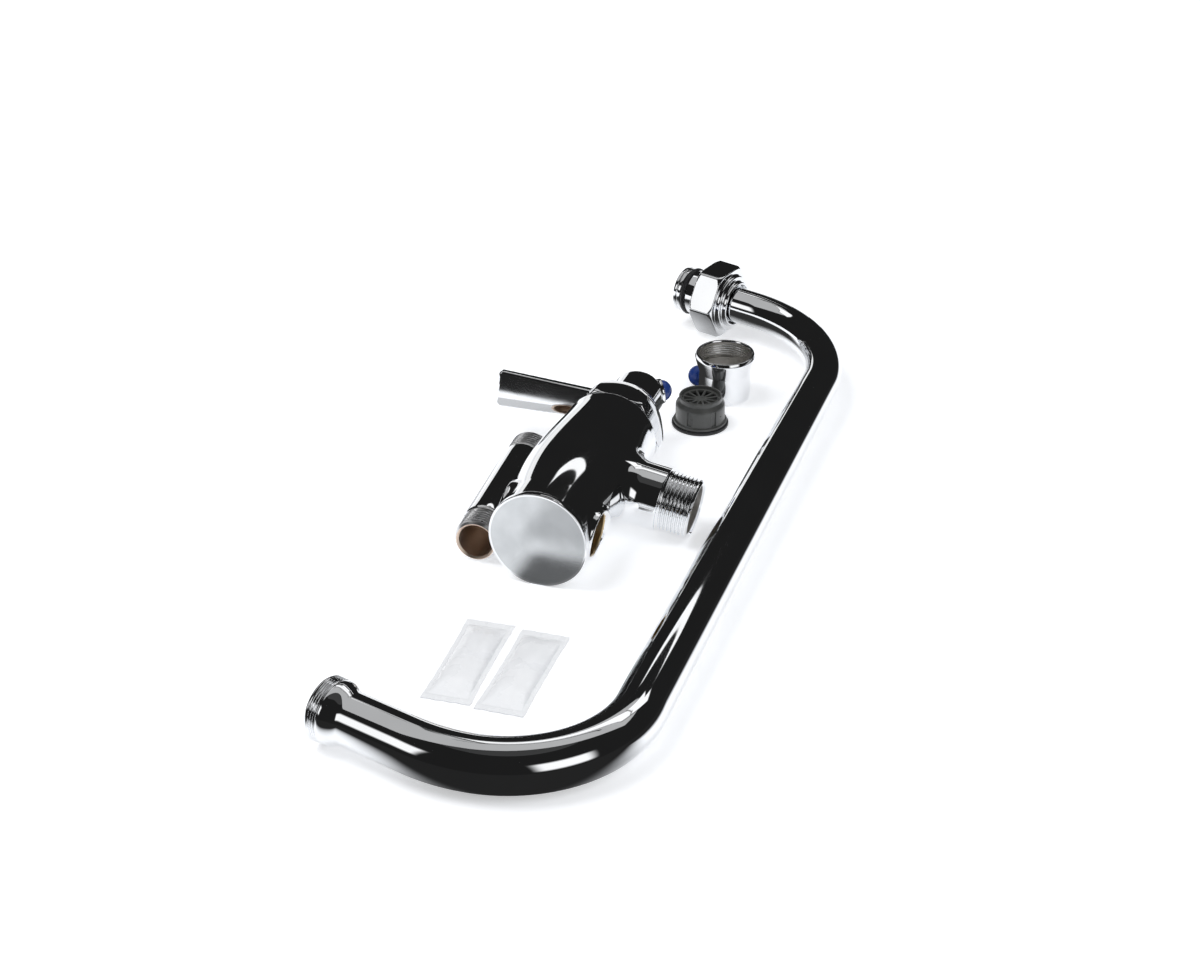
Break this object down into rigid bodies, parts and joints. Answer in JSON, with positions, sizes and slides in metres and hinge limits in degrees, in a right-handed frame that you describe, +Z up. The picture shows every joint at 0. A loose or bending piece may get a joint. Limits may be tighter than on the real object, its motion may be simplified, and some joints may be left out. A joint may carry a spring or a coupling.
{
  "type": "pre rinse add-on faucet kit",
  "caption": "Add-on faucet for a pre-rinse unit: quarter-turn lever valve with side outlet, swing spout with swivel nut, riser nipple, aerator shell and insert.",
  "frame": {"origin": "middle of the laid-out kit's footprint, on the surface that the pieces lie on", "axes": "+Z up from the surface; +Y along the valve axis from its closed disk end to its lever, which is also the direction of the spout's long run; +X from the valve towards its side outlet"},
  "size_m": [0.1217, 0.357, 0.036],
  "materials": {
    "chrome": "polished chrome plate on brass",
    "brass": "machined",
    "stainless": "fine",
    "black_rubber": "matt",
    "black_plastic": "satin moulded",
    "blue_plastic": "glossy",
    "ceramic": "lapped alumina ceramic",
    "film": "thin translucent film with a gel inside"
  },
  "bodies": {
    "valve": {"valve_body": "chrome", "bonnet_nut": "chrome", "cartridge_housing": "brass", "housing_o_ring": "black_rubber", "seat_seal": "black_rubber", "fixed_ceramic_disc": "ceramic"},
    "lever": {"lever_handle": "chrome", "handle_set_screw": "stainless", "index_button": "blue_plastic", "cartridge_stem": "brass", "stem_o_rings": "black_rubber", "stem_clip": "stainless", "moving_ceramic_disc": "ceramic"},
    "spout": {"spout_tube": "chrome", "outlet_ferrule": "chrome", "swivel_plug": "chrome", "plug_o_ring": "black_rubber", "slip_washer": "black_plastic"},
    "spout_nut": {"swivel_nut": "chrome"},
    "nipple": {"riser_nipple": "chrome"},
    "shell": {"aerator_shell": "chrome"},
    "insert": {"insert_housing": "black_plastic", "insert_spoke_disc": "black_plastic", "insert_screens": "stainless", "aerator_washer": "black_rubber"},
    "spare_button": {"spare_index_button": "blue_plastic"},
    "sachet_a": {"lubricant_sachet_a": "film"},
    "sachet_b": {"lubricant_sachet_b": "film"}
  },
  "joints": [
    {"name": "lever_turn", "type": "hinge", "parent": "valve", "child": "lever", "pos_m": [-0.00869, 0.04784, 0.018], "axis": [0, 1, 0], "range_deg": [0, 90]},
    {"name": "spout_lift", "type": "slide", "parent": "valve", "child": "spout", "axis": [0, 0, 1], "range_m": [0, 0.15]},
    {"name": "swivel_nut_turn", "type": "hinge", "parent": "spout", "child": "spout_nut", "pos_m": [-0.00249, 0.16115, 0.01361], "axis": [-0.9619, 0.2723, 0.0236], "continuous": true},
    {"name": "nipple_lift", "type": "slide", "parent": "valve", "child": "nipple", "axis": [0, 0, 1], "range_m": [0, 0.1]},
    {"name": "shell_lift", "type": "slide", "parent": "valve", "child": "shell", "axis": [0, 0, 1], "range_m": [0, 0.1]},
    {"name": "insert_lift", "type": "slide", "parent": "valve", "child": "insert", "axis": [0, 0, 1], "range_m": [0, 0.1]},
    {"name": "spare_button_lift", "type": "slide", "parent": "valve", "child": "spare_button", "axis": [-0.2873, 0, 0.9578], "range_m": [0, 0.1]},
    {"name": "sachet_a_lift", "type": "slide", "parent": "valve", "child": "sachet_a", "axis": [0, 0, 1], "range_m": [0, 0.1]},
    {"name": "sachet_b_lift", "type": "slide", "parent": "valve", "child": "sachet_b", "axis": [0, 0, 1], "range_m": [0, 0.1]}
  ]
}
